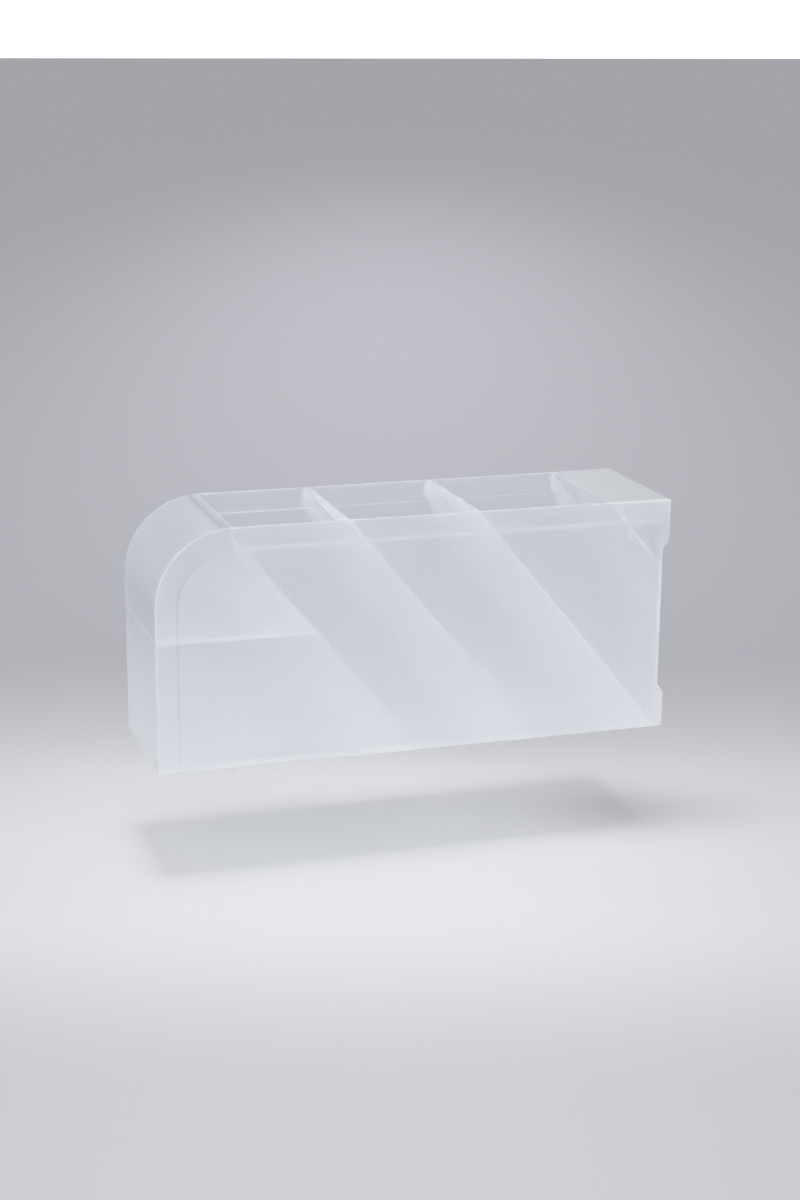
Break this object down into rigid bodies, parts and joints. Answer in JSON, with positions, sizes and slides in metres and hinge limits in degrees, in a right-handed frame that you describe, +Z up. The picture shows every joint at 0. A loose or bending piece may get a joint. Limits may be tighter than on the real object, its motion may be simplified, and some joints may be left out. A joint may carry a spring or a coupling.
{
  "type": "desk organizer",
  "caption": "Frosted translucent plastic desk organizer with slanted open-top compartments, a rounded closed nose with an inner shelf, and a recessed right end.",
  "frame": {"origin": "middle of the base, on the surface that the organizer stands on", "axes": "+X along the length from the rounded end to the recessed end, +Y from front to back, +Z up"},
  "size_m": [0.21, 0.061, 0.0955],
  "materials": {
    "frosted_plastic": "frosted, translucent polypropylene, fine matte texture"
  },
  "bodies": {
    "root": {"front_panel": "frosted_plastic", "back_panel": "frosted_plastic", "floor_plate": "frosted_plastic", "left_wall": "frosted_plastic", "curved_cover": "frosted_plastic", "shelf_plate": "frosted_plastic", "divider_1": "frosted_plastic", "divider_2": "frosted_plastic", "divider_3": "frosted_plastic", "divider_4": "frosted_plastic", "top_plate": "frosted_plastic", "right_end_wall": "frosted_plastic"}
  },
  "joints": []
}
